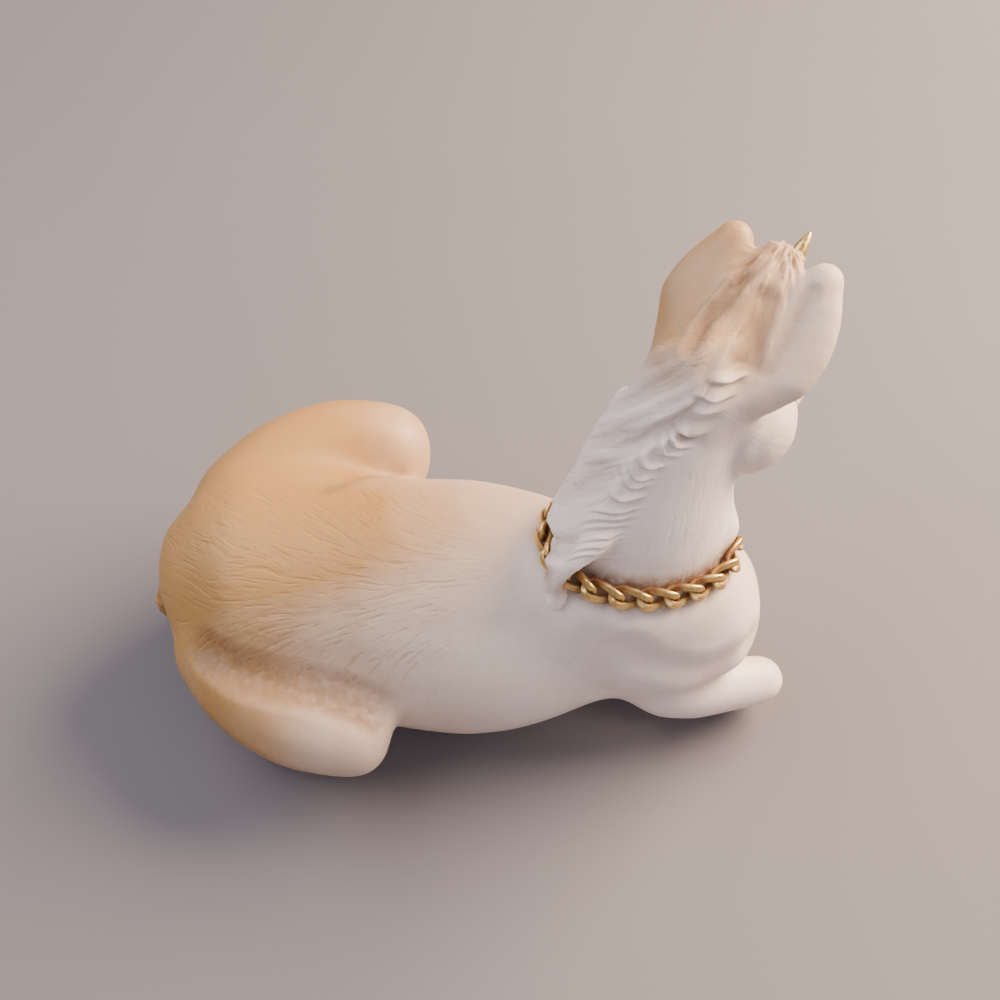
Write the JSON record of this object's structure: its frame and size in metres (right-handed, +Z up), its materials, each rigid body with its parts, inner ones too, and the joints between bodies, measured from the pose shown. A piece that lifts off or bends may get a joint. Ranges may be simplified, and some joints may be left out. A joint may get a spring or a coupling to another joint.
{
  "type": "unicorn figurine",
  "caption": "Ivory cast-resin unicorn figurine lying with folded legs, head turned left, full mane, gilt horn and a gilt curb chain round the neck.",
  "frame": {"origin": "centre of the bounding box in plan, on the surface that the figurine lies on", "axes": "+X along the body from the rump to the breast, +Y to the animal's left, +Z up"},
  "size_m": [0.1562, 0.096, 0.1254],
  "materials": {
    "ivory_resin": "satin cast resin with a warm patina in the hollows",
    "gilt_brass": "antique gilt with a red-brown wash",
    "gilt_paint": "gold paint on resin"
  },
  "bodies": {
    "root": {"torso": "ivory_resin", "hind_leg_right": "ivory_resin", "hind_leg_left": "ivory_resin", "foreleg_right": "ivory_resin", "foreleg_left": "ivory_resin", "tail": "ivory_resin", "neck": "ivory_resin", "head": "ivory_resin", "ear_left": "ivory_resin", "ear_right": "ivory_resin", "forelock": "ivory_resin", "mane": "ivory_resin", "horn": "gilt_paint", "chain_link_01": "gilt_brass", "chain_link_02": "gilt_brass", "chain_link_03": "gilt_brass", "chain_link_04": "gilt_brass", "chain_link_05": "gilt_brass", "chain_link_06": "gilt_brass", "chain_link_07": "gilt_brass", "chain_link_08": "gilt_brass", "chain_link_09": "gilt_brass", "chain_link_10": "gilt_brass", "chain_link_11": "gilt_brass", "chain_link_12": "gilt_brass", "chain_link_13": "gilt_brass", "chain_link_14": "gilt_brass", "chain_link_15": "gilt_brass", "chain_link_16": "gilt_brass", "chain_link_17": "gilt_brass", "chain_link_18": "gilt_brass", "chain_link_19": "gilt_brass", "chain_link_20": "gilt_brass"}
  },
  "joints": []
}
